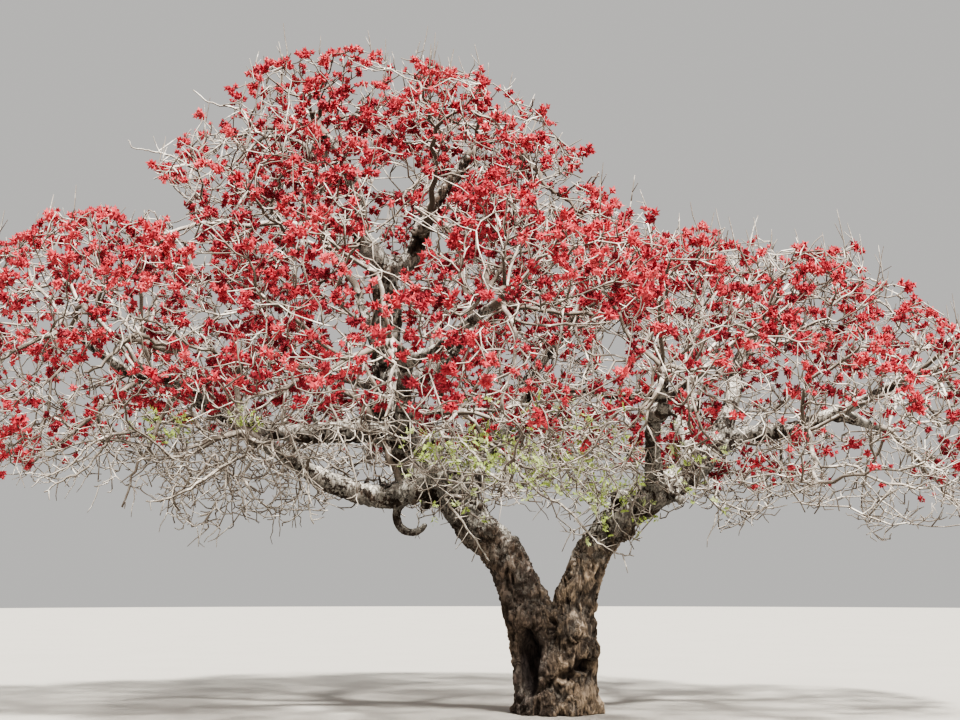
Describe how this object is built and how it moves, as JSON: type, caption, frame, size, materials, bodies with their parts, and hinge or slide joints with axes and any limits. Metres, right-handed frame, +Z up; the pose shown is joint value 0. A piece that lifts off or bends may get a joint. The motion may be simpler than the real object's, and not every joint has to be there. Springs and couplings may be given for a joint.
{
  "type": "parrot tree",
  "caption": "Whole tree in blossom, leafless: low forked trunk with root flare, crooked spreading limbs, broad domed crown of bare twigs ending in red blossom, some young leaf.",
  "frame": {"origin": "middle of the flat cut under the trunk, at ground level", "axes": "+Z up the trunk, +X along the crown's longest side, towards the right of the picture, +Y away from the picture's viewer"},
  "size_m": [13.1037, 10.7749, 8.1145],
  "materials": {
    "trunk_bark": "rough, knobbly dark brown bark with dusty patches",
    "limb_bark": "rough grey-brown bark, pale with lichen on its upper side",
    "blossom_twigs": "matt scarlet to crimson blossom on pale grey twigs",
    "leafy_twigs": "matt pale green young leaf on pale grey twigs"
  },
  "bodies": {
    "root": {"back_bough_1": "limb_bark", "back_bough_1_mass": "blossom_twigs", "back_bough_2": "limb_bark", "back_bough_2_mass": "blossom_twigs", "back_limb": "limb_bark", "back_limb_mass": "blossom_twigs", "back_right_bough_1": "limb_bark", "back_right_bough_1_mass": "blossom_twigs", "back_right_bough_2": "limb_bark", "back_right_bough_2_mass": "blossom_twigs", "back_right_limb": "limb_bark", "back_right_limb_mass": "blossom_twigs", "centre_bough_1": "limb_bark", "centre_bough_1_mass": "leafy_twigs", "centre_limb": "limb_bark", "centre_limb_mass": "blossom_twigs", "front_bough_1": "limb_bark", "front_bough_1_mass": "leafy_twigs", "front_bough_2": "limb_bark", "front_bough_2_mass": "blossom_twigs", "front_limb": "limb_bark", "front_limb_mass": "blossom_twigs", "front_right_bough_1": "limb_bark", "front_right_bough_1_mass": "blossom_twigs", "front_right_limb": "limb_bark", "front_right_limb_mass": "blossom_twigs", "great_limb": "limb_bark", "hooked_limb": "limb_bark", "leader_bough_1": "limb_bark", "leader_bough_1_mass": "blossom_twigs", "leader_limb": "limb_bark", "left_crown_bough_1": "limb_bark", "left_crown_bough_1_mass": "blossom_twigs", "left_crown_limb": "limb_bark", "left_crown_limb_mass": "blossom_twigs", "left_high_bough_1": "limb_bark", "left_high_bough_1_mass": "blossom_twigs", "left_high_bough_2": "limb_bark", "left_high_bough_2_mass": "blossom_twigs", "left_high_bough_3": "limb_bark", "left_high_bough_3_mass": "blossom_twigs", "left_high_limb": "limb_bark", "left_high_limb_mass": "blossom_twigs", "left_low_limb": "limb_bark", "left_low_limb_mass": "blossom_twigs", "right_crown_bough_1": "limb_bark", "right_crown_bough_1_mass": "blossom_twigs", "right_crown_limb": "limb_bark", "right_crown_limb_mass": "blossom_twigs", "right_limb": "limb_bark", "right_reach_bough_1": "limb_bark", "right_reach_bough_1_mass": "blossom_twigs", "right_reach_bough_2": "limb_bark", "right_reach_bough_2_mass": "blossom_twigs", "right_reach_limb": "limb_bark", "right_reach_limb_mass": "blossom_twigs", "right_rise_limb": "limb_bark", "right_rise_limb_mass": "blossom_twigs", "trunk": "trunk_bark"}
  },
  "joints": []
}
